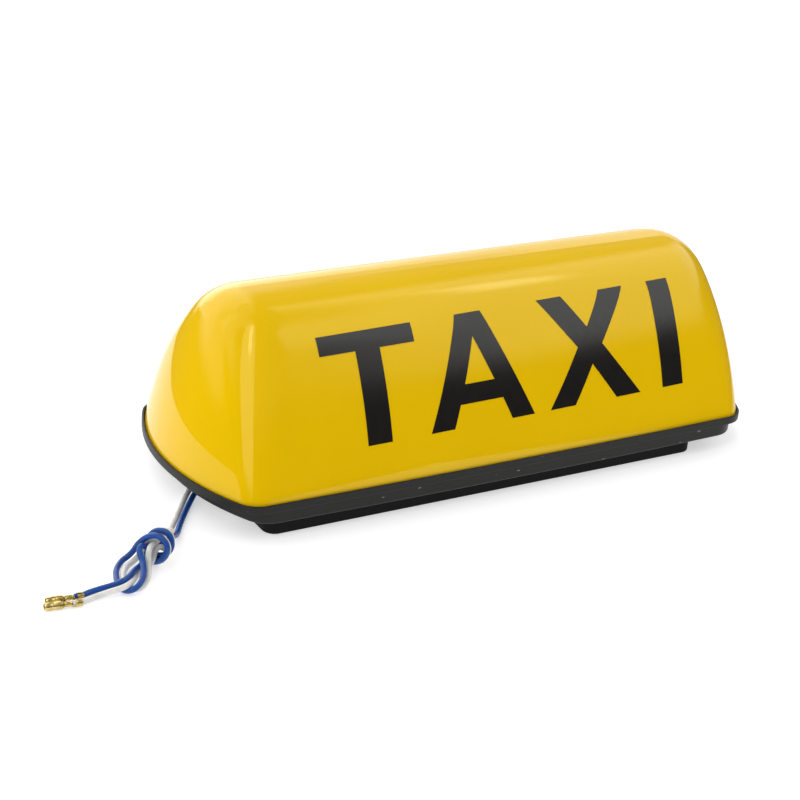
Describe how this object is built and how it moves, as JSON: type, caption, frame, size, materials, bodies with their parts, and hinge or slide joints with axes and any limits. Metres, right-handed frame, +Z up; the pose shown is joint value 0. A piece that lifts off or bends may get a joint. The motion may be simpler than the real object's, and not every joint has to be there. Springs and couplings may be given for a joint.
{
  "type": "taxi roof light",
  "caption": "Magnetic taxi roof sign: yellow translucent cover on a black tray, rubber magnet plinth, plug-in lamps, knotted wire pair with crimped sockets.",
  "frame": {"origin": "on the roof, under the middle of the sign: the height is the plinth's flat underside", "axes": "+Z up; X along the sign's long axis, with the wires at -X; the lettered front shown in the picture faces -Y"},
  "size_m": [0.4481, 0.1631, 0.11],
  "materials": {
    "yellow_cover": "glossy translucent yellow acrylic",
    "black_film": "glossy black vinyl film",
    "foam_seal": "closed-cell foam rubber",
    "black_tray": "satin black moulded plastic",
    "plinth_rubber": "black rubber",
    "plated_steel": "zinc-plated steel",
    "ferrite": "sintered ferrite, dark grey",
    "white_paint": "white powder coat",
    "black_holder": "black nylon",
    "contact_brass": "stamped brass",
    "lamp_glass": "clear glass",
    "filament_wire": "tungsten wire",
    "grommet_rubber": "black rubber",
    "blue_wire": "blue vinyl insulation",
    "white_wire": "off-white vinyl insulation"
  },
  "bodies": {
    "base": {"rim_gasket": "foam_seal", "base_tray": "black_tray", "magnet_plinth": "plinth_rubber", "magnet_cups": "plated_steel", "ring_magnets": "ferrite", "magnet_screws": "plated_steel", "magnet_washers": "plated_steel", "magnet_nuts": "plated_steel", "cover_screws": "plated_steel", "cover_washers": "plated_steel", "lamp_plate": "white_paint", "plate_screws": "plated_steel", "lamp_holder_left": "black_holder", "lamp_holder_right": "black_holder", "lamp_contacts_left": "contact_brass", "lamp_contacts_right": "contact_brass", "cable_grommet": "grommet_rubber", "blue_lead": "blue_wire", "white_lead": "white_wire", "blue_jumper": "blue_wire", "white_jumper": "white_wire", "lead_clip": "black_holder", "clip_screws": "plated_steel", "blue_wire_run": "blue_wire", "white_wire_run": "white_wire", "wire_knot": "blue_wire", "blue_wire_tail": "blue_wire", "white_wire_tail": "white_wire", "blue_socket": "contact_brass", "white_socket": "contact_brass"},
    "cover": {"cover_dome": "yellow_cover", "legend_front": "black_film", "legend_back": "black_film"},
    "lamp_left": {"lamp_glass_left": "lamp_glass", "lamp_filament_left": "filament_wire"},
    "lamp_right": {"lamp_glass_right": "lamp_glass", "lamp_filament_right": "filament_wire"}
  },
  "joints": [
    {"name": "cover_lift", "type": "slide", "parent": "base", "child": "cover", "axis": [0, 0, 1], "range_m": [0, 0.13]},
    {"name": "lamp_left_pull", "type": "slide", "parent": "base", "child": "lamp_left", "axis": [0, 0, 1], "range_m": [0, 0.025]},
    {"name": "lamp_right_pull", "type": "slide", "parent": "base", "child": "lamp_right", "axis": [0, 0, 1], "range_m": [0, 0.025]}
  ]
}
